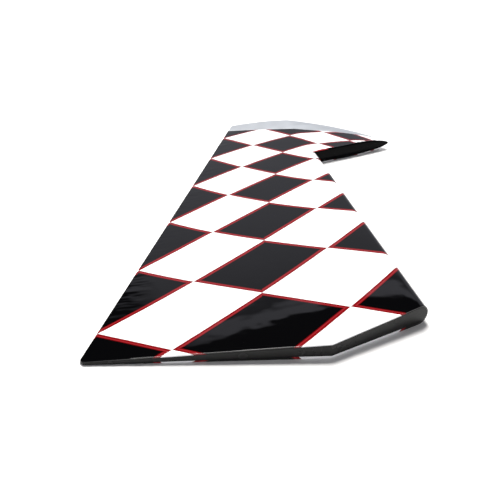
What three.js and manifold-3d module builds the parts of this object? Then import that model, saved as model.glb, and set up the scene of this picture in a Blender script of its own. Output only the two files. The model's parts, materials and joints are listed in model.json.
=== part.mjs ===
// A sheeted and film-covered balsa rudder panel for a large radio-controlled aeroplane, lying on its side.
//
// Millimetres. While it is built, X points forward from the hinge line, Y runs up the hinge line from
// the foot of the panel, and Z is the thickness, with the left side flat on Z = 0. At the end the whole
// assembly is moved so that the middle of its box stands over the origin.
import * as THREE from 'three';
import { mergeVertices } from 'three/addons/utils/BufferGeometryUtils.js';
import Module from 'manifold-3d';

const wasm = await Module();
wasm.setup();

// ---------------------------------------------------------------- driving dimensions

const FULL_THICKNESS = 19;              // along the hinge line
const EDGE_THICKNESS = 3;               // along the trailing edge
const NOSE_RADIUS = FULL_THICKNESS / 2; // of the bullnose leading edge

const FOOT_TRAILING = [-293.5, -18.6];  // foot of the trailing edge, before its corner is rounded
const FOOT_KNEE = [-88.5, -38];         // where the foot turns up towards the hinge line
const TIP_TRAILING = [-92.7, 638];      // top of the trailing edge
const UPSWEEP = Math.tan(THREE.MathUtils.degToRad(23)); // of the front foot and of the balance's lower face
const BALANCE_FOOT_Y = 427;             // where the lower face of the balance meets the hinge line
const BALANCE_REACH = 136.5;            // how far the balance stands forward of the hinge line
const TIP_RADIUS = 264;                 // of the curved tip, in plan
const BREAK_TRAILING_Y = 605;           // the silver film starts here on the trailing edge,
const BREAK_HINGE_Y = 549;              // here on the hinge line
const BREAK_SETBACK = 6;                // and this far short of the nose of the balance
const CORNER_RADIUS = 5;                // of the corner between the foot and the trailing edge

const ROUNDING_AT_TRAILING = 8;         // how far in from the edge the tip is rounded over
const ROUNDING_AT_NOSE = 75;
const ROUNDING_GROWTH = 1.5;            // power of the change from one to the other
const BLOCK_MARGIN = 8;                 // solid wood behind the rounded stretch

const GAP = 0.3;                        // glue line or clearance between neighbours
const FILM = 0.3;
const SKIN = 1.6;
const RIB = 2.4;
const END_RIB = 3;
const SPAR = 6;
const TRAILING_SHARE = 0.18;            // share of the chord that the trailing edge strip takes
const SPAR_FRONT_X = -6.3;              // the spar's front face, behind the leading edge strip

const RIB_START_Y = 40;
const RIB_PITCH = 65;
const RIB_COUNT = 9;
const BALANCE_RIB_YS = [480, 530];
const HINGE_BAYS = [0, 2, 4, 5];        // rib bays that hold a hinge
const HINGE_SLOT = { deep: 24, wide: 22, high: 1.2 };
const HINGE_BLOCK = { deep: 16, wide: 26 };
const HORN_BLOCK = { front: -31, deep: 35, wide: 38 };

// depths below the outer surface
const UNDER_FILM = FILM + GAP;
const UNDER_SKIN = UNDER_FILM + SKIN;
const FRAME_DEPTH = UNDER_SKIN + GAP;

// ---------------------------------------------------------------- lines and curves of the plan

const NOSE = [BALANCE_REACH, BALANCE_FOOT_Y + BALANCE_REACH * UPSWEEP];

// centre of the tip's arc, from its two ends and its radius
const TIP_CENTRE = (() => {
  const [ax, ay] = TIP_TRAILING;
  const [bx, by] = NOSE;
  const chord = Math.hypot(bx - ax, by - ay);
  const drop = Math.sqrt(TIP_RADIUS ** 2 - (chord / 2) ** 2);
  return [(ax + bx) / 2 + (by - ay) / chord * drop, (ay + by) / 2 - (bx - ax) / chord * drop];
})();
const angleOf = ([x, y]) => Math.atan2(y - TIP_CENTRE[1], x - TIP_CENTRE[0]);
const TRAILING_ANGLE = angleOf(TIP_TRAILING);
const NOSE_ANGLE = angleOf(NOSE);
const onTip = (angle, radius) => [
  TIP_CENTRE[0] + radius * Math.cos(angle), TIP_CENTRE[1] + radius * Math.sin(angle)];

const trailingX = (y) => FOOT_TRAILING[0] + (y - FOOT_TRAILING[1])
  * (TIP_TRAILING[0] - FOOT_TRAILING[0]) / (TIP_TRAILING[1] - FOOT_TRAILING[1]);

// directed lines; the panel lies to the left of each
const trailingEdge = [TIP_TRAILING, FOOT_TRAILING];
const aftFoot = [FOOT_TRAILING, FOOT_KNEE];
const frontFoot = [FOOT_KNEE, [0, FOOT_KNEE[1] - FOOT_KNEE[0] * UPSWEEP]];
const balanceFoot = [[0, BALANCE_FOOT_Y], NOSE];
const BREAK_MIDDLE = [0, BREAK_HINGE_Y];
const aftBreak = [[trailingX(BREAK_TRAILING_Y), BREAK_TRAILING_Y], BREAK_MIDDLE];
const frontBreak = [BREAK_MIDDLE, onTip(NOSE_ANGLE + BREAK_SETBACK / TIP_RADIUS, TIP_RADIUS)];
const stripFront = [TIP_TRAILING, FOOT_TRAILING].map(([x, y]) => [x * (1 - TRAILING_SHARE), y]);
const reversed = ([a, b]) => [b, a];
const acrossAt = (x) => [[x, 0], [x, -1]]; // the side forward of x lies to its left

// centre of the rounded corner, at the corner's radius from the trailing edge and from the foot
const CORNER_CENTRE = (() => {
  const direction = ([[ax, ay], [bx, by]]) => [bx - ax, by - ay].map((d) => d / Math.hypot(bx - ax, by - ay));
  const [px, py] = direction(trailingEdge);
  const [qx, qy] = direction(aftFoot);
  const turn = px * qy - py * qx;
  const [x, y] = FOOT_TRAILING;
  return [x + CORNER_RADIUS / turn * (qx - px), y + CORNER_RADIUS / turn * (qy - py)];
})();

// ---------------------------------------------------------------- thickness of the panel

const thicknessAt = (x, y) => {
  const share = Math.min(1, 1 - x / trailingX(y));
  return EDGE_THICKNESS + (FULL_THICKNESS - EDGE_THICKNESS) * share;
};
const roundingAt = (angle) => {
  const along = THREE.MathUtils.clamp((TRAILING_ANGLE - angle) / (TRAILING_ANGLE - NOSE_ANGLE), 0, 1.1);
  return ROUNDING_AT_TRAILING + (ROUNDING_AT_NOSE - ROUNDING_AT_TRAILING) * along ** ROUNDING_GROWTH;
};

// ---------------------------------------------------------------- solids

const toSolid = (geometry) => {
  const plain = geometry.clone();
  plain.deleteAttribute('normal');
  plain.deleteAttribute('uv');
  const merged = mergeVertices(plain, 1e-4);
  const corners = merged.index.array;
  const kept = [];
  for (let i = 0; i < corners.length; i += 3) {
    const [a, b, c] = corners.slice(i, i + 3);
    if (a !== b && b !== c && c !== a) kept.push(a, b, c);
  }
  return new wasm.Manifold(new wasm.Mesh({
    numProp: 3,
    vertProperties: new Float32Array(merged.attributes.position.array),
    triVerts: new Uint32Array(kept),
  }));
};

// a closed body over a grid of plan points, each with a lower and an upper height
const gridSolid = (columns, rows, pointAt) => {
  const positions = [];
  const index = [];
  const at = (i, j, upper) => ((i * (rows + 1)) + j) * 2 + upper;
  for (let i = 0; i <= columns; i++) {
    for (let j = 0; j <= rows; j++) {
      const { x, y, low, high } = pointAt(i, j);
      positions.push(x, y, low, x, y, high);
    }
  }
  const quad = (a, b, c, d) => index.push(a, b, c, a, c, d);
  for (let i = 0; i < columns; i++) {
    for (let j = 0; j < rows; j++) {
      quad(at(i, j, 1), at(i + 1, j, 1), at(i + 1, j + 1, 1), at(i, j + 1, 1));
      quad(at(i, j, 0), at(i, j + 1, 0), at(i + 1, j + 1, 0), at(i + 1, j, 0));
    }
  }
  for (let i = 0; i < columns; i++) {
    quad(at(i, 0, 0), at(i + 1, 0, 0), at(i + 1, 0, 1), at(i, 0, 1));
    quad(at(i + 1, rows, 0), at(i, rows, 0), at(i, rows, 1), at(i + 1, rows, 1));
  }
  for (let j = 0; j < rows; j++) {
    quad(at(0, j + 1, 0), at(0, j, 0), at(0, j, 1), at(0, j + 1, 1));
    quad(at(columns, j, 0), at(columns, j + 1, 0), at(columns, j + 1, 1), at(columns, j, 1));
  }
  const geometry = new THREE.BufferGeometry();
  geometry.setAttribute('position', new THREE.Float32BufferAttribute(positions, 3));
  geometry.setIndex(index);
  return toSolid(geometry);
};

// heights of a layer that lies an inset below the outer surface; full falls from 1 to 0 as the tip rounds off
const surfaceAt = (thickness, inset, full = 1) => {
  const half = Math.max(0, thickness / 2 - inset) * full;
  return { low: thickness / 2 - half, high: thickness / 2 + half };
};
const FLOOR = -FULL_THICKNESS;          // well clear of the panel below and above
const CEILING = FULL_THICKNESS * 2;

// the panel without its rounded tip: a wedge back to the trailing edge, full thickness in front of the
// hinge line, and a little oversize on every plain side
const WEDGE_Y = [-60, 660];
const WEDGE_ROWS = 9;
const WEDGE_SHARES = [-0.02, 0, 0.25, 0.5, 0.75, 1];
const WEDGE_FRONT = 150;
const wedgeSolid = (heights) => gridSolid(WEDGE_SHARES.length, WEDGE_ROWS, (i, j) => {
  const y = THREE.MathUtils.lerp(...WEDGE_Y, j / WEDGE_ROWS);
  const x = i < WEDGE_SHARES.length ? trailingX(y) * (1 - WEDGE_SHARES[i]) : WEDGE_FRONT;
  return { x, y, ...heights(thicknessAt(x, y)) };
});

// rings about the tip's centre, which start at a depth inside the edge and end well outside it
const RING_STEPS = 24;
const RING_OVERRUN = 0.03;              // radians past each end
const BEYOND_TIP = 140;
const ringSolid = (rows, pointAt) => gridSolid(RING_STEPS, rows, (i, j) => {
  const angle = THREE.MathUtils.lerp(
    TRAILING_ANGLE + RING_OVERRUN, NOSE_ANGLE - RING_OVERRUN, i / RING_STEPS);
  const { depth, heights } = pointAt(angle, j);
  const [x, y] = onTip(angle, TIP_RADIUS - depth);
  return { x, y, ...heights(thicknessAt(x, y)) };
});

// what is cut from above or below to round the tip off, as a quarter of an ellipse that ends at mid thickness
const ROUNDING_STEPS = 7;
const roundingCutter = (inset, above) => ringSolid(ROUNDING_STEPS + 1, (angle, row) => {
  const beyond = row > ROUNDING_STEPS;
  const turn = Math.max(0, 1 - row / ROUNDING_STEPS) * Math.PI / 2;
  const depth = beyond ? -BEYOND_TIP : inset + (roundingAt(angle) - inset) * (1 - Math.cos(turn));
  const heights = (thickness) => {
    const surface = surfaceAt(thickness, inset, Math.sin(turn));
    if (above) return { low: beyond ? FLOOR : surface.high, high: CEILING };
    return { low: FLOOR, high: beyond ? CEILING : surface.low };
  };
  return { depth, heights };
});

// everything left of a directed line in plan, moved in by an inset
const SPACE = 2000;
const leftOf = ([[ax, ay], [bx, by]], inset = 0) => {
  const half = new THREE.BoxGeometry(SPACE, SPACE, SPACE);
  half.translate(0, SPACE / 2 + inset, 0);
  half.rotateZ(Math.atan2(by - ay, bx - ax));
  half.translate(ax, ay, 0);
  return toSolid(half);
};
const box = (x0, x1, y0, y1, z0 = FLOOR, z1 = CEILING) => {
  const solid = new THREE.BoxGeometry(x1 - x0, y1 - y0, z1 - z0);
  solid.translate((x0 + x1) / 2, (y0 + y1) / 2, (z0 + z1) / 2);
  return toSolid(solid);
};
const common = (first, ...others) => others.reduce((solid, other) => solid.intersect(other), first);
const without = (first, ...others) => others.reduce((solid, other) => solid.subtract(other), first);

// a D section standing on the hinge line, run along it
const NOSE_STEPS = 12;
const CORNER_STEPS = 48;
const bullnose = (radius, back, hollow = 0) => {
  const section = new THREE.Shape();
  section.moveTo(-back, radius);
  section.lineTo(-back, hollow);
  if (hollow > 0) {
    section.lineTo(0, hollow);
    section.absarc(0, 0, hollow, Math.PI / 2, -Math.PI / 2, true);
    section.lineTo(-back, -hollow);
  }
  section.lineTo(-back, -radius);
  section.lineTo(0, -radius);
  section.absarc(0, 0, radius, -Math.PI / 2, Math.PI / 2, false);
  const run = new THREE.ExtrudeGeometry(section, {
    depth: BALANCE_FOOT_Y + 80, bevelEnabled: false, curveSegments: NOSE_STEPS });
  run.rotateX(Math.PI / 2);
  run.translate(0, BALANCE_FOOT_Y + 40, NOSE_RADIUS);
  return toSolid(run);
};

// ---------------------------------------------------------------- shared bodies and cutters

// the whole outside of the panel, taken in by an inset, but not yet cut at its trailing edge, foot and balance
const body = (inset) => without(wedgeSolid((thickness) => surfaceAt(thickness, inset)),
  roundingCutter(inset, true), roundingCutter(inset, false));
const layer = (outer, inner) => body(outer).subtract(body(inner));
const sides = {
  right: wedgeSolid((thickness) => ({ low: thickness / 2 + GAP / 2, high: CEILING })),
  left: wedgeSolid((thickness) => ({ low: FLOOR, high: thickness / 2 - GAP / 2 })),
};

// the solid wood along the tip, seen in plan
const blockZone = (margin) => ringSolid(1, (angle, row) => ({
  depth: row ? -BEYOND_TIP : roundingAt(angle) + BLOCK_MARGIN + margin,
  heights: () => ({ low: FLOOR, high: CEILING }),
}));
const behindBlocks = (solid) => solid.subtract(blockZone(GAP));

// what is cut away outside the rounded corner of the foot and the trailing edge
const cornerCutter = (inset) => {
  const round = new THREE.CylinderGeometry(CORNER_RADIUS - inset, CORNER_RADIUS - inset, SPACE, CORNER_STEPS);
  round.rotateX(Math.PI / 2);
  round.translate(...CORNER_CENTRE, 0);
  const [x, y] = CORNER_CENTRE;
  const squareTo = ([[ax, ay], [bx, by]]) => [[x, y], [x + by - ay, y + ax - bx]];
  return common(leftOf(squareTo(trailingEdge)), leftOf(reversed(squareTo(aftFoot)))).subtract(toSolid(round));
};
const insideTrailing = (solid, inset) => solid
  .intersect(leftOf(trailingEdge, inset)).subtract(cornerCutter(inset));
const insideFoot = (solid, inset) => common(solid, leftOf(aftFoot, inset), leftOf(frontFoot, inset));
const silverZone = (margin) => leftOf(aftBreak, margin).intersect(leftOf(frontBreak, margin));
const forwardOf = (solid, x) => solid.intersect(leftOf(acrossAt(x)));
const behind = (solid, x) => solid.intersect(leftOf(reversed(acrossAt(x))));
const stripZoneFront = (solid) => solid.intersect(leftOf(stripFront, GAP / 2));
const NOSE_LAP = 0.5;                   // the bullnose reaches this far back into the wedge when they are one
const sectionWithNose = (inset) => behind(body(inset), 0).add(bullnose(NOSE_RADIUS - inset, NOSE_LAP));
const bayMiddle = (bay) => RIB_START_Y + RIB_PITCH * (bay + 0.5);

const hingeSlots = HINGE_BAYS.map((bay) => {
  const y = bayMiddle(bay);
  const { deep, wide, high } = HINGE_SLOT;
  return box(-deep, FULL_THICKNESS, y - wide / 2, y + wide / 2, NOSE_RADIUS - high / 2, NOSE_RADIUS + high / 2);
});

// ---------------------------------------------------------------- materials and the assembly

const finish = (color, roughness) => new THREE.MeshStandardMaterial({ color, roughness, metalness: 0 });
const MATERIALS = {
  printed: finish('#e9e8ea', 0.15),
  black: finish('#141416', 0.15),
  silver: finish('#c3c8cf', 0.25),
  balsa: finish('#d9bd8b', 0.75),
  hardwood: finish('#b98a55', 0.65),
};
const panel = new THREE.Group();
const add = (name, solid, material) => {
  const { vertProperties, triVerts, numProp } = solid.getMesh();
  const geometry = new THREE.BufferGeometry();
  const corners = new THREE.InterleavedBuffer(vertProperties, numProp);
  geometry.setAttribute('position', new THREE.InterleavedBufferAttribute(corners, 3, 0));
  geometry.setIndex([...triVerts]);
  const mesh = new THREE.Mesh(geometry.toNonIndexed(), MATERIALS[material]);
  mesh.geometry.computeVertexNormals();
  mesh.name = name;
  panel.add(mesh);
};

// ---------------------------------------------------------------- covering film

for (const [side, half] of Object.entries(sides)) {
  const film = insideTrailing(layer(0, FILM).intersect(half), UNDER_FILM);
  const printed = film.subtract(silverZone(-GAP / 2));
  const main = insideFoot(printed, UNDER_FILM);
  add(`${side}_film`, behind(main, -GAP), 'printed');
  add(`${side}_balance_film`, forwardOf(printed.intersect(leftOf(balanceFoot, UNDER_FILM)), 0), 'printed');
  add(`${side}_tip_film`, film.intersect(silverZone(GAP / 2)), 'silver');
}
const outsideTrailing = (inset) => leftOf(reversed(trailingEdge), -inset).add(cornerCutter(inset));
const trailingBand = insideTrailing(body(0), 0).intersect(outsideTrailing(FILM));
add('trailing_edge_film', insideFoot(trailingBand, UNDER_FILM).subtract(silverZone(-GAP / 2)), 'printed');
add('tip_trailing_film', trailingBand.intersect(silverZone(GAP / 2)), 'silver');

const belowBalance = leftOf(reversed(balanceFoot), GAP);
const noseFilm = forwardOf(bullnose(NOSE_RADIUS, 2, NOSE_RADIUS - FILM), 0);
add('leading_edge_film',
  without(common(noseFilm, belowBalance, leftOf(frontFoot, UNDER_FILM)), ...hingeSlots), 'printed');

const footBand = (line) => leftOf(line).subtract(leftOf(line, FILM));
add('aft_foot_film',
  behind(insideTrailing(body(0).intersect(footBand(aftFoot)), 0), FOOT_KNEE[0] - GAP / 2), 'black');
add('front_foot_film',
  forwardOf(sectionWithNose(0).intersect(footBand(frontFoot)), FOOT_KNEE[0] + GAP / 2), 'black');
add('balance_foot_film', forwardOf(body(0).intersect(footBand(balanceFoot)), NOSE_RADIUS + GAP), 'black');

// ---------------------------------------------------------------- balsa sheeting

for (const [side, half] of Object.entries(sides)) {
  const sheet = behindBlocks(layer(UNDER_FILM, UNDER_SKIN).intersect(half));
  add(`${side}_skin`, behind(stripZoneFront(insideFoot(sheet, UNDER_FILM)), SPAR_FRONT_X), 'balsa');
  add(`${side}_balance_skin`,
    forwardOf(sheet.intersect(leftOf(balanceFoot, UNDER_FILM)), SPAR_FRONT_X + GAP), 'balsa');
}

// ---------------------------------------------------------------- edges, spar and blocks

const wood = body(UNDER_FILM);
const strip = insideTrailing(wood, UNDER_FILM).intersect(leftOf(reversed(stripFront), GAP / 2));
add('trailing_edge', behindBlocks(insideFoot(strip, UNDER_FILM)), 'balsa');

const noseStrip = forwardOf(sectionWithNose(UNDER_FILM), SPAR_FRONT_X + GAP);
add('leading_edge',
  without(common(noseStrip, belowBalance, leftOf(frontFoot, UNDER_FILM)), ...hingeSlots), 'balsa');

const frame = body(FRAME_DEPTH);
const SPAR_BACK_X = SPAR_FRONT_X - SPAR;
const spar = forwardOf(behind(insideFoot(frame, UNDER_FILM), SPAR_FRONT_X), SPAR_BACK_X);
add('hinge_spar', without(behindBlocks(spar), ...hingeSlots), 'balsa');

const blocks = wood.intersect(blockZone(0));
add('tip_block', behind(insideTrailing(blocks, UNDER_FILM), SPAR_FRONT_X), 'balsa');
add('balance_nose_block',
  forwardOf(blocks.intersect(leftOf(balanceFoot, UNDER_FILM)), SPAR_FRONT_X + GAP), 'balsa');

// ---------------------------------------------------------------- ribs

const ribZone = behind(stripZoneFront(behindBlocks(frame)), SPAR_BACK_X - GAP);
for (let i = 0; i < RIB_COUNT; i++) {
  const y = RIB_START_Y + RIB_PITCH * i;
  add(`rib_${i + 1}`, ribZone.intersect(box(-SPACE, SPACE, y - RIB / 2, y + RIB / 2)), 'balsa');
}
const endBand = (line) => leftOf(line, UNDER_FILM).subtract(leftOf(line, UNDER_FILM + END_RIB));
add('aft_end_rib', behind(ribZone.intersect(endBand(aftFoot)), FOOT_KNEE[0] - GAP / 2), 'balsa');
add('front_end_rib', forwardOf(ribZone.intersect(endBand(frontFoot)), FOOT_KNEE[0] + GAP / 2), 'balsa');

const balanceZone = forwardOf(behindBlocks(frame), SPAR_FRONT_X + GAP);
add('balance_base_rib', balanceZone.intersect(endBand(balanceFoot)), 'balsa');
const aboveBase = leftOf(balanceFoot, UNDER_FILM + END_RIB + GAP);
BALANCE_RIB_YS.forEach((y, i) => {
  const rib = common(balanceZone, aboveBase, box(-SPACE, SPACE, y - RIB / 2, y + RIB / 2));
  add(`balance_rib_${i + 1}`, rib, 'balsa');
});

// ---------------------------------------------------------------- hinge and control horn blocks

HINGE_BAYS.forEach((bay, i) => {
  const y = bayMiddle(bay);
  const front = SPAR_BACK_X - GAP;
  const block = frame.intersect(
    box(front - HINGE_BLOCK.deep, front, y - HINGE_BLOCK.wide / 2, y + HINGE_BLOCK.wide / 2));
  add(`hinge_block_${i + 1}`, block.subtract(hingeSlots[i]), 'hardwood');
});
const hornY = bayMiddle(0);
const { front: hornFront, deep: hornDeep, wide: hornWide } = HORN_BLOCK;
add('control_horn_block', frame.intersect(
  box(hornFront - hornDeep, hornFront, hornY - hornWide / 2, hornY + hornWide / 2)), 'hardwood');

// ---------------------------------------------------------------- place the assembly

const bounds = new THREE.Box3().setFromObject(panel);
const middle = bounds.getCenter(new THREE.Vector3());
panel.position.set(-middle.x, -middle.y, -bounds.min.z);

export default panel;
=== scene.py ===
import json
import math

import bpy
import bmesh
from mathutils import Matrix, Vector, noise


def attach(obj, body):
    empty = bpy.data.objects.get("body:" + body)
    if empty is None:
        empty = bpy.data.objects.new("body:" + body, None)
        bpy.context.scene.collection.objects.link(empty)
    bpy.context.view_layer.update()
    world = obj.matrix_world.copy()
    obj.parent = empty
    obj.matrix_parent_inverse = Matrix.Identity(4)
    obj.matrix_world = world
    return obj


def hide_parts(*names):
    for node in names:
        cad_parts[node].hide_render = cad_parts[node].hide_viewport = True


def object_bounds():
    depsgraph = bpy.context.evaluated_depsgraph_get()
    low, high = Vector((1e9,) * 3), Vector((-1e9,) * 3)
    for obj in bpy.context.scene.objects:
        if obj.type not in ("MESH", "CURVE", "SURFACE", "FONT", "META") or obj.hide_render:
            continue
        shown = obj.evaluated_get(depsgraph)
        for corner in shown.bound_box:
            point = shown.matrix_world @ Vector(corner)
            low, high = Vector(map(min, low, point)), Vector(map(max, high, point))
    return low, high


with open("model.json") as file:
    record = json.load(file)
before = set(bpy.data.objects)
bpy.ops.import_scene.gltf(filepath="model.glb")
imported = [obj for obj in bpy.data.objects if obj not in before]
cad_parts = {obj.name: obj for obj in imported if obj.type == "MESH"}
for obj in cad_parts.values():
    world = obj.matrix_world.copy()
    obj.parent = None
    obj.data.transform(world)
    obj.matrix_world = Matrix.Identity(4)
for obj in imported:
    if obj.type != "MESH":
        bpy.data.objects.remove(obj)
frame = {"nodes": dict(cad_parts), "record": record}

CAD_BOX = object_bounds()

# ---------------------------------------------------------------- driving dimensions
# Millimetres, in the panel's own plan: X forward from the hinge line, Y up it from the foot, Z the
# thickness from the side that it lies on. Blender's metres start at the frame's origin instead.

MM = 0.001
FULL_THICKNESS = 19.0
EDGE_THICKNESS = 3.0
NOSE_RADIUS = FULL_THICKNESS / 2
FOOT_TRAILING = (-293.5, -18.6)
FOOT_KNEE = (-88.5, -38.0)
TIP_TRAILING = (-92.7, 638.0)
UPSWEEP = math.tan(math.radians(23))
BALANCE_FOOT_Y = 427.0
BALANCE_REACH = 136.5
TIP_RADIUS = 264.0
BREAK_TRAILING_Y = 605.0
BREAK_HINGE_Y = 549.0
BREAK_SETBACK = 6.0
CORNER_RADIUS = 5.0
ROUNDING_AT_TRAILING = 8.0
ROUNDING_AT_NOSE = 75.0
ROUNDING_GROWTH = 1.5

NOSE = (BALANCE_REACH, BALANCE_FOOT_Y + BALANCE_REACH * UPSWEEP)
HINGE_FOOT_Y = FOOT_KNEE[1] - FOOT_KNEE[0] * UPSWEEP
ORIGIN = Vector((CAD_BOX[1].x - NOSE[0] * MM, CAD_BOX[0].y - FOOT_KNEE[1] * MM, CAD_BOX[0].z))


def placed(x, y, z):
    """A plan point in millimetres, as a place in Blender's metres."""
    return ORIGIN + Vector((x, y, z)) * MM


def mix(a, b, share):
    return a + (b - a) * share


# ---------------------------------------------------------------- lines, curves and surfaces


def tip_centre():
    (ax, ay), (bx, by) = TIP_TRAILING, NOSE
    chord = math.hypot(bx - ax, by - ay)
    drop = math.sqrt(TIP_RADIUS**2 - (chord / 2) ** 2)
    return (ax + bx) / 2 + (by - ay) / chord * drop, (ay + by) / 2 - (bx - ax) / chord * drop


TIP_CENTRE = tip_centre()


def angle_of(x, y):
    return math.atan2(y - TIP_CENTRE[1], x - TIP_CENTRE[0])


def on_tip(angle, inset=0.0):
    radius = TIP_RADIUS - inset
    return TIP_CENTRE[0] + radius * math.cos(angle), TIP_CENTRE[1] + radius * math.sin(angle)


TRAILING_ANGLE = angle_of(*TIP_TRAILING)
NOSE_ANGLE = angle_of(*NOSE)
BREAK_ANGLE = NOSE_ANGLE + BREAK_SETBACK / TIP_RADIUS


def trailing_x(y):
    lean = (TIP_TRAILING[0] - FOOT_TRAILING[0]) / (TIP_TRAILING[1] - FOOT_TRAILING[1])
    return FOOT_TRAILING[0] + (y - FOOT_TRAILING[1]) * lean


BREAK_START = (trailing_x(BREAK_TRAILING_Y), BREAK_TRAILING_Y)
BREAK_MIDDLE = (0.0, BREAK_HINGE_Y)
BREAK_END = on_tip(BREAK_ANGLE)


def line_y(a, b, x):
    return a[1] + (x - a[0]) * (b[1] - a[1]) / (b[0] - a[0])


def foot_y(x, inset=0.0):
    """Height of the foot at x, for a foot moved in by an inset square to each of its two stretches."""
    aft_slope = (FOOT_KNEE[1] - FOOT_TRAILING[1]) / (FOOT_KNEE[0] - FOOT_TRAILING[0])
    aft = line_y(FOOT_TRAILING, FOOT_KNEE, x) + inset * math.hypot(1, aft_slope)
    front = HINGE_FOOT_Y + x * UPSWEEP + inset * math.hypot(1, UPSWEEP)
    return max(aft, front)


def break_y(x):
    return max(line_y(BREAK_START, BREAK_MIDDLE, x), line_y(BREAK_MIDDLE, BREAK_END, x))


def corner_square():
    """The rounded corner's centre, and the directions out from it and along its two edges."""
    along_edge = (Vector(FOOT_TRAILING) - Vector(TIP_TRAILING)).normalized()
    along_foot = (Vector(FOOT_KNEE) - Vector(FOOT_TRAILING)).normalized()
    turn = along_edge.x * along_foot.y - along_edge.y * along_foot.x
    centre = Vector(FOOT_TRAILING) + (along_foot - along_edge) * CORNER_RADIUS / turn
    outward = [Vector((line.y, -line.x)) for line in (along_edge, along_foot)]
    return centre, outward, (along_edge, -along_foot)


CORNER_CENTRE, CORNER_OUTWARD, CORNER_TOWARDS = corner_square()


def round_corner(x, y):
    """Draws the corner of the foot and the trailing edge in towards its centre, from a kite to a sector."""
    away = Vector((x, y)) - CORNER_CENTRE
    if min(away.dot(towards) for towards in CORNER_TOWARDS) <= 0 or away.length == 0:
        return x, y
    reach = max(away.dot(outward) for outward in CORNER_OUTWARD) / away.length
    return tuple(CORNER_CENTRE + away * reach)


def thickness_at(x, y):
    share = min(1.0, 1 - x / trailing_x(y))
    return EDGE_THICKNESS + (FULL_THICKNESS - EDGE_THICKNESS) * share


def rounding_at(angle):
    along = max(0.0, min(1.1, (TRAILING_ANGLE - angle) / (TRAILING_ANGLE - NOSE_ANGLE)))
    return ROUNDING_AT_TRAILING + (ROUNDING_AT_NOSE - ROUNDING_AT_TRAILING) * along**ROUNDING_GROWTH


def fullness_at(x, y):
    """1 over the flat of the panel, falling as a quarter of an ellipse to 0 at the edge of the tip."""
    depth = TIP_RADIUS - math.hypot(x - TIP_CENTRE[0], y - TIP_CENTRE[1])
    share = max(0.0, min(1.0, depth / rounding_at(angle_of(x, y))))
    return math.sqrt(1 - (1 - share) ** 2)


def height_at(x, y, side, sink=0.0):
    """Height of the right (+1) or left (-1) surface, sunk under the outer one."""
    half = thickness_at(x, y) / 2
    return half + side * max(0.0, half - sink) * fullness_at(x, y)


# ---------------------------------------------------------------- the checks
# The checks fan out over the panel. (u, v) are their corners: u counts columns forward from the hinge
# line's middle column, v counts rows up, and black diamonds sit where u and v are both even.

MIDDLE_CHECK = (-120.0, 112.0)   # roughly where (0, 0) lies
CHECK_SPAN = (70.0, 55.0)        # and how far apart the columns and the rows are
FOOT_STRETCH = (0.63, -0.93)     # how the rows nearest the foot are stretched, more so further aft


def check_corner(u, v):
    """Plan position of (u, v). Columns lean and close up, and rows tilt and bunch, towards the tip."""
    stretch = (1 - u) * max(0.0, -1 - v) ** 2
    x = -122.2 + 0.3 * u * u + (70.9 - 4.18 * v + 0.154 * v * v) * u
    x += (9.76 + 0.48 * v - 0.0247 * v * v - 0.23 * u * u) * v
    y = 111.1 + (54.6 - 0.78 * v - 0.028 * v * v) * v
    y += (18.3 - 0.02 * v - 0.87 * v * v + 0.0415 * v**3) * u
    return x + FOOT_STRETCH[0] * stretch, y + FOOT_STRETCH[1] * stretch


def check_slopes(u, v, step=0.01):
    x0, y0 = check_corner(u, v)
    xu, yu = check_corner(u + step, v)
    xv, yv = check_corner(u, v + step)
    return (xu - x0) / step, (xv - x0) / step, (yu - y0) / step, (yv - y0) / step


def check_at(x, y):
    """The (u, v) of a plan point, by Newton's method from an even lattice."""
    u, v = (x - MIDDLE_CHECK[0]) / CHECK_SPAN[0], (y - MIDDLE_CHECK[1]) / CHECK_SPAN[1]
    for _ in range(12):
        x0, y0 = check_corner(u, v)
        xu, xv, yu, yv = check_slopes(u, v)
        turn = xu * yv - xv * yu
        u += ((x - x0) * yv - (y - y0) * xv) / turn
        v += ((y - y0) * xu - (x - x0) * yu) / turn
    return u, v


def check_pitches(u, v):
    """Millimetres in one step of u + v and in one of u - v, square to the edges of the checks."""
    xu, xv, yu, yv = check_slopes(u, v)
    turn = xu * yv - xv * yu
    du, dv = (yv / turn, -xv / turn), (-yu / turn, xu / turn)
    rising = 1 / math.hypot(du[0] + dv[0], du[1] + dv[1])
    falling = 1 / math.hypot(du[0] - dv[0], du[1] - dv[1])
    return rising, falling


# ---------------------------------------------------------------- meshes

WELD = 0.004 * MM
SMOOTH_UNDER = math.radians(38)


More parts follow.
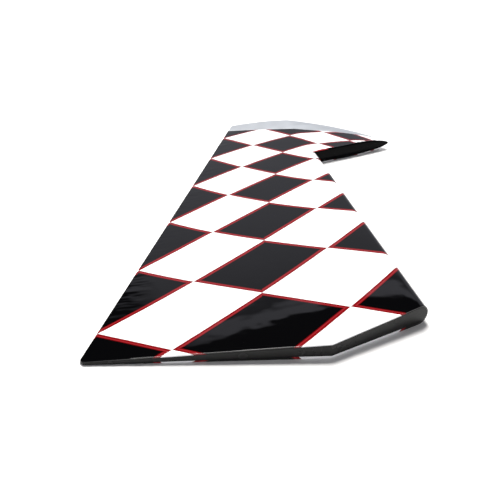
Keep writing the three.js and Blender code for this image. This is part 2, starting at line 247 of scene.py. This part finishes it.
class Sheet:
    """Grids of points that are welded into one mesh. Each point also has its place on the unrolled film."""

    def __init__(self):
        self.points, self.unrolled, self.faces = [], [], []

    def grid(self, columns, rows, point_at, flip=False):
        start = len(self.points)
        for i in range(columns + 1):
            for j in range(rows + 1):
                (x, y, z), unrolled = point_at(i, j)
                self.points.append(placed(*round_corner(x, y), z))
                self.unrolled.append(unrolled)
        for i in range(columns):
            for j in range(rows):
                a = start + i * (rows + 1) + j
                face = (a, a + rows + 1, a + rows + 2, a + 1)
                self.faces.append(face[::-1] if flip else face)

    def checked(self):
        """The corner of the checks at every point, and the checks' pitches there."""
        corners = [check_at(*flat) for flat in self.unrolled]
        return {"checks": corners, "pitches": [check_pitches(*corner) for corner in corners]}

    def build(self, name, layers=None):
        mesh = bpy.data.meshes.new(name)
        mesh.from_pydata(self.points, [], self.faces)
        for layer_name, values in (layers or {"unrolled": self.unrolled}).items():
            layer = mesh.uv_layers.new(name=layer_name)
            for loop in mesh.loops:
                layer.data[loop.index].uv = values[loop.vertex_index]
        work = bmesh.new()
        work.from_mesh(mesh)
        bmesh.ops.remove_doubles(work, verts=work.verts, dist=WELD)
        bmesh.ops.dissolve_degenerate(work, edges=work.edges, dist=WELD)
        work.to_mesh(mesh)
        work.free()
        mesh.polygons.foreach_set("use_smooth", [True] * len(mesh.polygons))
        mesh.set_sharp_from_angle(angle=SMOOTH_UNDER)
        piece = bpy.data.objects.new(name, mesh)
        bpy.context.scene.collection.objects.link(piece)
        return piece


def thicken(piece, thickness):
    """Gives a sheet its thickness, in millimetres, on the side of the wood."""
    solid = piece.modifiers.new("film thickness", "SOLIDIFY")
    solid.thickness = thickness * MM
    solid.offset = -1.0
    solid.use_even_offset = False


def flatten_shading(piece):
    """Lets the large faces set the shading beside a narrow turn."""
    shading = piece.modifiers.new("shading", "WEIGHTED_NORMAL")
    shading.keep_sharp = True


def settle(piece, material, slot_name, *nodes):
    piece.data.materials.append(material)
    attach(piece, "root")
    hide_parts(*nodes)


# ---------------------------------------------------------------- film laid over the wood

RIPPLE = 0.10            # height of the film's slow waves
RIPPLE_PITCH = 48.0
RIPPLE_CALM = 14.0       # the waves die out over this distance from an edge
CAP_RISE = 0.1           # the balance cap stands this far proud
FOOT_SET = 0.35          # the film's foot lies this far inside the foot cap's face
FOOT_RADIUS = 0.35
FOOT_FLAP = 2.6
FOOT_TURNS = (90, 60, 30)
CHORD_COLUMNS = 36
FOOT_ROWS = 52           # up to the foot of the balance
UPPER_ROWS = 22          # from there to the silver film
NOSE_COLUMNS = 10
EDGE_TURNS = (90, 68, 45, 22, 0)
CORNER_SHARES = (0.004, 0.0085, 0.014, 0.02)


def chord_x(y, share):
    """A share of the way from the end of the trailing edge's turn to the hinge line."""
    return (trailing_x(y) + EDGE_THICKNESS / 2) * (1 - share)


def on_column(share, edge):
    """Where the line at a share of the chord meets an edge given as y of x."""
    y = edge(FOOT_KNEE[0])
    for _ in range(20):
        y = edge(chord_x(y, share))
    return chord_x(y, share), y


def ripple(x, y, seed):
    """Slow waves of the film, 0 to 1, that die out towards the edges of the panel."""
    wave = 0.5 + 0.5 * noise.noise(Vector((x / RIPPLE_PITCH, y / RIPPLE_PITCH, seed)))
    wave += 0.25 * noise.noise(Vector((x / RIPPLE_PITCH * 2.7, y / RIPPLE_PITCH * 1.9, seed + 5)))
    from_tip = TIP_RADIUS - math.hypot(x - TIP_CENTRE[0], y - TIP_CENTRE[1])
    room = min(x - trailing_x(y), y - foot_y(x), from_tip)
    if y < BALANCE_FOOT_Y:
        room = min(room, max(0.0, -x))
    return wave * max(0.0, min(1.0, room / RIPPLE_CALM - 0.15))


def foot_steps():
    """The film's turn over the foot, as (inset from the foot, drop below the surface, length of film)."""
    steps = [(FOOT_SET, FOOT_RADIUS + FOOT_FLAP, FOOT_RADIUS * math.pi / 2 + FOOT_FLAP)]
    for degrees in FOOT_TURNS:
        turn = math.radians(degrees)
        inset = FOOT_SET + FOOT_RADIUS * (1 - math.sin(turn))
        steps.append((inset, FOOT_RADIUS * (1 - math.cos(turn)), FOOT_RADIUS * turn))
    return steps


FOOT_STEPS = foot_steps()
FOOT_START = FOOT_SET + FOOT_RADIUS


def chord_shares():
    knee = 1 - FOOT_KNEE[0] / chord_x(FOOT_KNEE[1], 0)
    evenly = [i / CHORD_COLUMNS for i in range(1, CHORD_COLUMNS + 1)]
    nearest = min(range(CHORD_COLUMNS - 1), key=lambda i: abs(evenly[i] - knee))
    evenly[nearest] = knee
    return [*CORNER_SHARES, *evenly]


SHARES = chord_shares()
CLIMBS = (0.0, 0.002, 0.0045, 0.008, 0.012, *(i / FOOT_ROWS for i in range(1, FOOT_ROWS + 1)))
TURNS = [math.radians(d) for d in EDGE_TURNS]
BELOW = len(FOOT_STEPS) + len(CLIMBS) - 1    # rows below the foot of the balance


def span_at(share, row):
    """Plan point and foot step of a row on a line at a share of the chord."""
    steps = len(FOOT_STEPS)
    if row < steps:
        inset, drop, back = FOOT_STEPS[row]
        x, y = on_column(share, lambda at: foot_y(at, inset))
        return x, y, drop, on_column(share, lambda at: foot_y(at, FOOT_START))[1] - back
    if row <= BELOW:
        low = on_column(share, lambda at: foot_y(at, FOOT_START))
        high = on_column(share, lambda at: BALANCE_FOOT_Y)
        along = CLIMBS[row - steps]
    else:
        low = on_column(share, lambda at: BALANCE_FOOT_Y)
        high = on_column(share, break_y)
        along = (row - BELOW) / UPPER_ROWS
    x, y = mix(low[0], high[0], along), mix(low[1], high[1], along)
    return x, y, 0.0, y


def chord_point(column, row, side):
    """Over the wedge: the first columns turn the film over the trailing edge."""
    wrap = column < len(TURNS)
    x, y, drop, flat_y = span_at(0.0 if wrap else SHARES[column - len(TURNS)], row)
    half = thickness_at(x, y) / 2
    flat_x = x
    round_off = 1.0
    if wrap:
        turn = TURNS[column]
        x -= half * math.sin(turn)
        round_off = math.cos(turn)
        flat_x -= half * turn
    sink = RIPPLE * ripple(x, y, 2.0 + side)
    height = half + side * max(0.0, half * round_off - drop - sink)
    return (x, y, height), (flat_x, flat_y)


def nose_point(column, row, side):
    """Round the bullnose, from the hinge line's top to its front."""
    turn = column / NOSE_COLUMNS * math.pi / 2
    steps = len(FOOT_STEPS)
    inset, drop, back = FOOT_STEPS[row] if row < steps else (FOOT_START, 0.0, 0.0)
    radius = NOSE_RADIUS - drop
    x = radius * math.sin(turn)
    low = foot_y(x, inset)
    y = mix(low, BALANCE_FOOT_Y + x * UPSWEEP, CLIMBS[max(0, row - steps)])
    return (x, y, NOSE_RADIUS + side * radius * math.cos(turn)), (NOSE_RADIUS * turn, y - back)


BALANCE_COLUMNS = 30
BALANCE_RADIUS = 1.8     # of the upper edge of the balance's lower face
BALANCE_FLAP = 1.8       # the left side's film turns this far up that face
BALANCE_EASE = 4.0       # both build up over this distance from the hinge line


def half_height(x, y):
    return thickness_at(x, y) / 2 * fullness_at(x, y)


def balance_radius(x):
    y = BALANCE_FOOT_Y + x * UPSWEEP
    return min(BALANCE_RADIUS * min(1.0, x / BALANCE_EASE), half_height(x, y) * 0.6)


def balance_inset(x, inset):
    """The plan point an inset square in from the balance's lower face."""
    slant = math.hypot(1, UPSWEEP)
    return x - inset * UPSWEEP / slant, BALANCE_FOOT_Y + x * UPSWEEP + inset / slant


def balance_point(column, row, side):
    """Over the balance, from the hinge line to the rim of the tip, below the silver film."""
    reach = math.sin(column / BALANCE_COLUMNS * math.pi / 2)
    up = max(0, row - 1) / UPPER_ROWS
    end = on_tip(mix(NOSE_ANGLE, BREAK_ANGLE, up))
    x = mix(0.0, end[0], reach)
    y = mix(mix(BALANCE_FOOT_Y, break_y(0.0), up), end[1], reach)
    flat_y = y
    lift = 0.0
    if up == 0:
        x, y = balance_inset(x, balance_radius(x) if side > 0 else CAP_RISE * min(1.0, x / BALANCE_EASE))
        lift = BALANCE_FLAP * (row == 0 and side < 0)
        flat_y -= lift
    sink = RIPPLE * ripple(x, y, 2.0 + side)
    raised = min(1.0, lift / max(0.1, half_height(x, y)))
    return (x, y, mix(height_at(x, y, side, sink), FULL_THICKNESS / 2, raised)), (x, flat_y)


def printed_covering():
    sheet = Sheet()
    columns = len(TURNS) + len(SHARES) - 1
    for side in (1, -1):
        flip = side < 0
        sheet.grid(columns, BELOW + UPPER_ROWS, lambda i, j: chord_point(i, j, side), flip)
        sheet.grid(NOSE_COLUMNS, BELOW, lambda i, j: nose_point(i, j, side), flip)
        sheet.grid(BALANCE_COLUMNS, UPPER_ROWS + 1, lambda i, j: balance_point(i, j, side), flip)
    return sheet.build("printed_covering", sheet.checked())


TIP_COLUMNS = 44
TIP_ROWS = 16
SILVER_LAP = 1.6         # the silver film laps this far over the printed one
SILVER_RISE = 0.12


def tip_point(column, row, side):
    """Over the tip, from the lap on the printed film to the rim."""
    wraps = len(TURNS)
    turn = TURNS[column] if column < wraps else 0.0
    along = max(0, column - wraps + 1) / TIP_COLUMNS
    start_x = mix(BREAK_START[0], BREAK_END[0], along)
    start = (start_x, break_y(start_x) - SILVER_LAP * (1 - along))
    end = on_tip(mix(TRAILING_ANGLE, BREAK_ANGLE, along))
    reach = math.sin(row / TIP_ROWS * math.pi / 2)
    x, y = mix(start[0], end[0], reach), mix(start[1], end[1], reach)
    half = thickness_at(x, y) / 2
    if column < wraps:
        x = max(x, trailing_x(y)) + half * (1 - math.sin(turn))
    sink = RIPPLE * ripple(x, y, 2.0 + side) - SILVER_RISE * (side > 0)
    height = half + side * (height_at(x, y, 1, sink) - half) * math.cos(turn)
    return (x, y, height), (x, math.dist(start, end) * reach)


def tip_covering():
    sheet = Sheet()
    for side in (1, -1):
        sheet.grid(len(TURNS) + TIP_COLUMNS - 1, TIP_ROWS, lambda i, j: tip_point(i, j, side), side < 0)
    return sheet.build("tip_covering", {"lap": sheet.unrolled})


# ---------------------------------------------------------------- film over the cut ends

CAP_MARGINS = {1: 1.2, -1: 2.7}  # how much printed film shows above and below the foot cap
CAP_OUT = 0.05           # the foot cap's face lies this far inside the foot
CAP_COLUMNS = 90
CAP_FACE_ROWS = 3
CAP_FLANGE = 1.8         # the balance cap laps this far over the printed film, unevenly
CAP_JAG = 2.2
CAP_LEAST = 0.4
CAP_START = 4.0          # the lap starts this far forward of the hinge line
CAP_END = 6.0            # and narrows over this distance to the nose


def foot_cap_point(column, row):
    """Across the foot: a rim that goes back to the printed film, and a face between its two edges."""
    rim = row in (0, 4)
    inset = FOOT_SET if rim else CAP_OUT
    across = (-1, -1, 0, 1, 1)[row]
    margin = CAP_MARGINS.get(across, 0.0)
    if column < len(SHARES):
        x, y = on_column(SHARES[column], lambda at: foot_y(at, inset))
        half = thickness_at(x, y) / 2
        return (x, y, half + across * (half - min(margin, half * 0.45))), (x, y)
    turn = (column + 1 - len(SHARES)) / NOSE_COLUMNS * math.pi / 2
    radius = NOSE_RADIUS - margin
    x = (NOSE_RADIUS - CAP_MARGINS[1]) * math.sin(turn)
    return (x, foot_y(x, inset), NOSE_RADIUS + across * radius * math.cos(turn)), (x, 0.0)


def foot_cap():
    sheet = Sheet()
    sheet.grid(len(SHARES) - 1 + NOSE_COLUMNS, 4, foot_cap_point)
    return sheet.build("foot_cap")


BALANCE_TURN = (90, 67, 45, 22, 0)       # the cap's turn over the upper edge of its face, in degrees
BALANCE_SLIVER = 1.0     # of the left side's film that shows below the cap


def balance_cap_point(column, row):
    """From the lap on the right side's film, over the rounded edge, and down the balance's lower face."""
    x = NOSE[0] * math.sin(column / CAP_COLUMNS * math.pi / 2)
    radius = balance_radius(x)
    edge = half_height(x, BALANCE_FOOT_Y + x * UPSWEEP)
    turned = radius * math.pi / 2
    if row == 0:
        jag = noise.noise(Vector((x / 4.1, 7.0, 1.3))) + 0.6 * noise.noise(Vector((x / 1.3, 5.0, 4.2)))
        fade = min(1.0, (NOSE[0] - x) / CAP_END, max(0.0, x / CAP_START - 1))
        lap = max(CAP_LEAST, CAP_FLANGE + CAP_JAG * jag) * fade
        at_x, at_y = balance_inset(x, radius + lap)
        return (at_x, at_y, height_at(at_x, at_y, 1) + CAP_RISE), (x, turned + lap)
    if row <= len(BALANCE_TURN):
        turn = math.radians(BALANCE_TURN[row - 1])
        at_x, at_y = balance_inset(x, radius * (1 - math.cos(turn)) - CAP_RISE * math.cos(turn))
        drop = radius * (1 - math.sin(turn)) - CAP_RISE * math.sin(turn)
        return (at_x, at_y, height_at(at_x, at_y, 1) - drop), (x, radius * turn)
    at_x, at_y = balance_inset(x, -CAP_RISE)
    low = -edge + min(BALANCE_SLIVER, edge * 0.3)
    down = (row - len(BALANCE_TURN)) / CAP_FACE_ROWS
    return (at_x, at_y, FULL_THICKNESS / 2 + mix(edge - radius, low, down)), (x, 0.0)


def balance_cap():
    sheet = Sheet()
    sheet.grid(CAP_COLUMNS, len(BALANCE_TURN) + CAP_FACE_ROWS, balance_cap_point, flip=True)
    return sheet.build("balance_foot_cap", {"lap": sheet.unrolled})


# ---------------------------------------------------------------- materials


class Nodes:
    """A material's node tree, with short ways to add and join nodes."""

    def __init__(self, name, **fixed):
        self.material = bpy.data.materials.new(name)
        self.material.use_nodes = True
        self.tree = self.material.node_tree
        self.shader = self.tree.nodes["Principled BSDF"]
        for socket, value in fixed.items():
            self.shader.inputs[socket.replace("_", " ")].default_value = value

    @classmethod
    def of(cls, tree):
        """The same short ways for a tree that is there already."""
        nodes = cls.__new__(cls)
        nodes.tree = tree
        return nodes

    def add(self, kind, links=None, **settings):
        node = self.tree.nodes.new(kind)
        for key, value in settings.items():
            setattr(node, key, value)
        for socket, value in (links or {}).items():
            self.join(value, node.inputs[socket])
        return node

    def join(self, value, socket):
        if isinstance(value, bpy.types.NodeSocket):
            self.tree.links.new(value, socket)
        else:
            socket.default_value = value

    def math(self, operation, *values):
        node = self.add("ShaderNodeMath", operation=operation)
        for socket, value in zip(node.inputs, values):
            self.join(value, socket)
        return node.outputs[0]

    def place(self):
        return self.add("ShaderNodeTexCoord").outputs["Object"]

    def on_film(self, layer):
        """The two values that a UV layer carries over a film."""
        film = self.add("ShaderNodeUVMap", uv_map=layer).outputs[0]
        return self.add("ShaderNodeSeparateXYZ", {0: film}).outputs

    def noise(self, scale, detail=2.0, roughness=0.5, stretch=(1, 1, 1), distortion=0.0):
        spread = self.add("ShaderNodeMapping", {"Vector": self.place(), "Scale": stretch})
        links = {"Vector": spread.outputs[0], "Scale": scale, "Detail": detail,
                 "Roughness": roughness, "Distortion": distortion}
        return self.add("ShaderNodeTexNoise", links).outputs["Fac"]

    def ramp(self, value, stops, interpolation="LINEAR"):
        node = self.add("ShaderNodeValToRGB", {"Fac": value})
        node.color_ramp.interpolation = interpolation
        elements = node.color_ramp.elements
        while len(elements) < len(stops):
            elements.new(0.5)
        for element, (position, color) in zip(elements, stops):
            element.position = position
            element.color = (*color, 1) if len(color) == 3 else (color[0],) * 3 + (1,)
        return node.outputs["Color"]

    def remap(self, value, low, high, new_low, new_high):
        links = {"Value": value, "From Min": low, "From Max": high,
                 "To Min": new_low, "To Max": new_high}
        return self.add("ShaderNodeMapRange", links).outputs[0]

    def bump(self, height, distance, strength=1.0, under=None):
        links = {"Height": height, "Distance": distance, "Strength": strength}
        if under is not None:
            links["Normal"] = under
        return self.add("ShaderNodeBump", links).outputs[0]

    def finish(self, **links):
        for socket, value in links.items():
            self.join(value, self.shader.inputs[socket.replace("_", " ")])
        return self.material


WHITE = (0.90, 0.90, 0.91)
BLACK = (0.0015, 0.0015, 0.0018)
RED = (0.18, 0.003, 0.005)
RED_LAP = (0.26, 0.018, 0.023)
RED_EDGE = (0.15, 0.002, 0.003)
STRIPE = 4.4             # width of the red stripe, in millimetres
EDGE_SPAN = 10.0         # the edge's colours run over this many millimetres, half of them outside the check
FILM_GLOSS = 0.012

# Heights of the film's unevenness, in metres.
WAVES = 0.00030
RIPPLES = 0.00003
CREASES = 0.00050
CREASE_REACH = 0.030     # the creases run this far in from the trailing edge
SEAMS = 0.00003
FLECKS = 0.00008         # and the depth of the wood's grain


def from_trailing_edge(nodes):
    """How far a place lies forward of the trailing edge, in metres."""
    edge = (placed(*TIP_TRAILING, 0) - placed(*FOOT_TRAILING, 0)).normalized()
    square = Vector((edge.y, -edge.x, 0))
    along = nodes.add("ShaderNodeVectorMath", {0: nodes.place(), 1: square}, operation="DOT_PRODUCT")
    return nodes.math("SUBTRACT", along.outputs["Value"], square.dot(placed(*FOOT_TRAILING, 0)))


def film_surface(nodes, seams=None):
    """Waves and fine ripples of shrunk film, creases along the trailing edge, and lapped seams."""
    waves = nodes.bump(nodes.noise(17, detail=1.0, roughness=0.3), WAVES)
    ripples = nodes.bump(nodes.noise(90, detail=0.0), RIPPLES, under=waves)
    fade = nodes.remap(from_trailing_edge(nodes), 0.0, CREASE_REACH, 1.0, 0.0)
    puckers = nodes.math("MULTIPLY", nodes.noise(110, detail=1.0, stretch=(0.45, 1, 1)), fade)
    creased = nodes.bump(puckers, CREASES, under=ripples)
    return creased if seams is None else nodes.bump(seams, SEAMS, under=creased)


def film_roughness(nodes, low, high):
    return nodes.remap(nodes.noise(60, detail=4.0), 0.3, 0.75, low, high)


def printed_material():
    """White film with black diamonds, edged with a red stripe that two colours of film lap over."""
    nodes = Nodes("printed_film", IOR=1.46)
    checks, pitches = nodes.on_film("checks"), nodes.on_film("pitches")

    def from_black_middle(value):
        nearest = nodes.math("MULTIPLY", nodes.math("ROUND", nodes.math("MULTIPLY", value, 0.5)), 2.0)
        return nodes.math("SUBTRACT", value, nearest)

    du, dv = from_black_middle(checks[0]), from_black_middle(checks[1])
    outward = nodes.math("ADD", nodes.math("ABSOLUTE", du), nodes.math("ABSOLUTE", dv))
    inside = nodes.math("SUBTRACT", 1.0, outward)
    rising = nodes.math("GREATER_THAN", nodes.math("MULTIPLY", du, dv), 0.0)
    pitch = nodes.add("ShaderNodeMix", {0: rising, 2: pitches[1], 3: pitches[0]}).outputs[0]
    unevenness = nodes.remap(nodes.noise(45, detail=3.0), 0.2, 0.8, -0.18, 0.18)
    depth = nodes.math("ADD", nodes.math("MULTIPLY", inside, pitch), unevenness)
    along = nodes.remap(depth, -EDGE_SPAN / 2, EDGE_SPAN / 2, 0.0, 1.0)

    def stop(millimetres):
        return 0.5 + millimetres / EDGE_SPAN

    color = nodes.ramp(along, [
        (stop(-0.06), WHITE), (stop(0.02), RED_EDGE), (stop(0.35), RED),
        (stop(STRIPE * 0.52), RED), (stop(STRIPE * 0.58), RED_LAP), (stop(STRIPE * 0.74), RED_LAP),
        (stop(STRIPE * 0.82), RED_EDGE), (stop(STRIPE), RED_EDGE), (stop(STRIPE + 0.08), BLACK)])
    seams = nodes.ramp(along, [
        (stop(-0.1), (0,)), (stop(0.15), (0.6,)), (stop(STRIPE * 0.5), (0.6,)), (stop(STRIPE * 0.6), (1,))])
    roughness = film_roughness(nodes, FILM_GLOSS, 2.5 * FILM_GLOSS)
    return nodes.finish(Base_Color=color, Roughness=roughness, Normal=film_surface(nodes, seams))


def black_material():
    """Duller black film, a little uneven, over the foot."""
    nodes = Nodes("black_film", IOR=1.46, Specular_IOR_Level=0.2)
    shade = nodes.ramp(nodes.noise(9, detail=3.0), [(0.3, (0.0094,) * 3), (0.7, (0.0106,) * 3)])
    roughness = film_roughness(nodes, 0.22, 0.30)
    return nodes.finish(Base_Color=shade, Roughness=roughness, Normal=film_surface(nodes))


# Silver colours from the nose to aft. The paler colours aft are painted sheen.
SILVER_AND_SHEEN = ((0.0, (0.25, 0.27, 0.30)), (0.7, (0.33, 0.35, 0.38)), (1.0, (0.40, 0.42, 0.445)))
SILVER_HIGHLIGHT = 3.0        # a painted highlight: a paler strip this wide along the film's lower edge


def silver_material():
    """Silver film, a little paler aft as painted sheen, and palest along a painted highlight where it laps
    over the printed film.
    """
    nodes = Nodes("silver_film", IOR=1.46, Metallic=0.3)
    lap = nodes.on_film("lap")
    blotches = nodes.remap(nodes.noise(9, detail=3.0), 0.2, 0.8, -20.0, 20.0)
    # Painted sheen: the colour turns paler towards the trailing edge.
    aft = nodes.remap(nodes.math("ADD", lap[0], blotches), NOSE[0], TIP_TRAILING[0], 0.0, 0.7)
    # Painted highlight: a paler strip along the lap's lower edge.
    lap_highlight = nodes.remap(lap[1], SILVER_HIGHLIGHT, SILVER_HIGHLIGHT + 0.6, 0.3, 0.0)
    color = nodes.ramp(nodes.math("ADD", aft, lap_highlight), SILVER_AND_SHEEN)
    roughness = film_roughness(nodes, 0.32, 0.40)
    return nodes.finish(Base_Color=color, Roughness=roughness, Normal=film_surface(nodes))


RED_LAP_END = 30.0       # the cap's lap is red this far forward of the hinge line, in millimetres
RED_LAP_START = 1.3      # and from this far up


def balance_material():
    nodes = Nodes("balance_film", IOR=1.46, Specular_IOR_Level=0.04)
    lap = nodes.on_film("lap")
    up = nodes.math("GREATER_THAN", lap[1], RED_LAP_START)
    aft = nodes.math("LESS_THAN", nodes.math("ADD", lap[0], nodes.noise(80)), RED_LAP_END)
    color = nodes.ramp(nodes.math("MULTIPLY", up, aft), [(0.4, BLACK), (0.6, RED_LAP)])
    roughness = film_roughness(nodes, 0.12, 0.22)
    return nodes.finish(Base_Color=color, Roughness=roughness, Normal=film_surface(nodes))


def wood_material(name, light, dark, grain):
    nodes = Nodes(name)
    streaks = nodes.noise(grain, detail=6.0, roughness=0.65, stretch=(1, 0.06, 1), distortion=0.4)
    flecks = nodes.noise(900, detail=2.0, stretch=(1, 0.12, 1))
    grained = nodes.math("ADD", nodes.math("MULTIPLY", streaks, 0.8), nodes.math("MULTIPLY", flecks, 0.2))
    color = nodes.ramp(grained, [(0.32, dark), (0.68, light)])
    roughness = nodes.remap(streaks, 0.2, 0.8, 0.6, 0.85)
    return nodes.finish(Base_Color=color, Roughness=roughness, Normal=nodes.bump(flecks, FLECKS))


# ---------------------------------------------------------------- the visible pieces

cover = printed_covering()
thicken(cover, 0.15)
flatten_shading(cover)
settle(cover, printed_material(), "film_printed", "right_film", "left_film", "right_balance_film",
       "left_balance_film", "leading_edge_film", "trailing_edge_film")

tip = tip_covering()
thicken(tip, 0.1)
flatten_shading(tip)
settle(tip, silver_material(), "film_silver",
       "right_tip_film", "left_tip_film", "tip_trailing_film")

foot = foot_cap()
thicken(foot, 0.1)
settle(foot, black_material(), "film_black", "aft_foot_film", "front_foot_film")

balance = balance_cap()
thicken(balance, 0.08)
settle(balance, balance_material(), "film_black", "balance_foot_film")

# ---------------------------------------------------------------- the wood under the film

WOODS = {
    "balsa": wood_material("balsa", (0.74, 0.58, 0.36), (0.56, 0.39, 0.20), 140),
    "hardwood": wood_material("hardwood", (0.47, 0.29, 0.13), (0.27, 0.14, 0.06), 220),
}
for subpart in frame["record"]["subparts"]:
    wood = WOODS.get(subpart["material_slot"])
    if wood:
        inner = frame["nodes"][subpart["node"]]
        inner.data.materials.clear()
        inner.data.materials.append(wood)

# ---------------------------------------------------------------- floor, light and camera

FLOOR_SIZE = 12.0
LIGHT_TINT = (1.0, 0.985, 0.96)


def floor():
    mesh = bpy.data.meshes.new("floor")
    half = FLOOR_SIZE / 2
    corners = [(-half, -half, 0), (half, -half, 0), (half, half, 0), (-half, half, 0)]
    mesh.from_pydata([Vector(c) + Vector((0, 0, CAD_BOX[0].z)) for c in corners], [], [(0, 1, 2, 3)])
    ground = bpy.data.objects.new("floor", mesh)
    nodes = Nodes("floor", Roughness=0.7)
    shade = nodes.ramp(nodes.noise(3, detail=2.0), [(0.3, (0.90, 0.90, 0.90)), (0.7, (0.93, 0.93, 0.93))])
    mesh.materials.append(nodes.finish(Base_Color=shade))
    bpy.context.scene.collection.objects.link(ground)


def soft_light(name, place, target, size, watts):
    light = bpy.data.lights.new(name, "AREA")
    light.color = LIGHT_TINT
    light.shape = "SQUARE"
    light.size = size
    light.energy = watts
    lamp = bpy.data.objects.new(name, light)
    lamp.location = place
    lamp.rotation_mode = "QUATERNION"
    lamp.rotation_quaternion = (Vector(target) - Vector(place)).to_track_quat("-Z", "Y")
    bpy.context.scene.collection.objects.link(lamp)


CAMERA_PLACE = (-215.8, -458.4, 320.0)
CAMERA_HEADING = math.degrees(math.atan2(0.1406, 0.9900))
CAMERA_PITCH = 26.9
CAMERA_LENS = 46.8

# The surround's brightness by elevation in degrees: bright at the horizon, grey above it, paler again
# just under its upper edge, then dark but for a narrow strip. It leans down to the camera's right. To
# the camera's left it ends on a slant, and is dark below SURROUND_TOP.
DARK = 0.004
SURROUND = (
    (0, 0.80), (3, 0.70), (7, 0.42), (12, 0.28), (26, 0.29), (30.6, 0.26), (31.1, 0.13), (31.6, 0.13),
    (32.1, 0.42), (32.9, 0.40), (33.1, DARK), (38.6, DARK), (39.2, 0.50), (42.0, 0.50), (43.0, DARK),
    (90, DARK))
SURROUND_TINT = (1.0, 1.0, 1.12)
SURROUND_LEAN = 0.08
SURROUND_TOP = 0.6
SURROUND_END = (-0.735, -0.665)


def surround():
    world = bpy.data.worlds.new("surround")
    bpy.context.scene.world = world
    world.use_nodes = True
    nodes = Nodes.of(world.node_tree)
    direction = nodes.add("ShaderNodeTexCoord").outputs["Generated"]
    heading = math.radians(CAMERA_HEADING)

    def towards(x, y, z):
        dot = nodes.add("ShaderNodeVectorMath", {0: direction, 1: (x, y, z)}, operation="DOT_PRODUCT")
        return dot.outputs["Value"]

    right = towards(math.cos(heading), -math.sin(heading), 0)
    ahead = nodes.math("GREATER_THAN", towards(math.sin(heading), math.cos(heading), 0), 0.0)
    lean = nodes.math("MULTIPLY", nodes.math("MULTIPLY", right, ahead), SURROUND_LEAN)
    up = towards(0, 0, 1)
    level = nodes.math("ADD", up, lean)
    glow = nodes.ramp(level, [
        (math.sin(math.radians(elevation)), tuple(brightness * tint for tint in SURROUND_TINT))
        for elevation, brightness in SURROUND])
    reach = nodes.remap(nodes.math("SUBTRACT", right, up), *SURROUND_END, 0.0, 1.0)
    above = nodes.math("GREATER_THAN", up, SURROUND_TOP)
    elsewhere = nodes.math("MAXIMUM", nodes.math("SUBTRACT", 1.0, ahead), above)
    background = world.node_tree.nodes["Background"].inputs
    nodes.join(glow, background["Color"])
    nodes.join(nodes.math("MAXIMUM", reach, elsewhere), background["Strength"])


def camera():
    lens = bpy.data.cameras.new("camera")
    lens.lens = CAMERA_LENS
    lens.sensor_width = 36.0
    eye = bpy.data.objects.new("camera", lens)
    heading, pitch = math.radians(CAMERA_HEADING), math.radians(CAMERA_PITCH)
    level = math.cos(pitch)
    forward = Vector((math.sin(heading) * level, math.cos(heading) * level, -math.sin(pitch)))
    eye.location = placed(*CAMERA_PLACE)
    eye.rotation_mode = "QUATERNION"
    eye.rotation_quaternion = forward.to_track_quat("-Z", "Y")
    bpy.context.scene.collection.objects.link(eye)
    bpy.context.scene.camera = eye


floor()
surround()
soft_light("overhead", (0.3, 3.35, 5.05), (0, 0, 0), 3.0, 850)
soft_light("front", (-1.5, -5.1, 3.0), (0, 0, 0), 4.2, 70)
camera()
bpy.context.scene.view_settings.view_transform = "Standard"
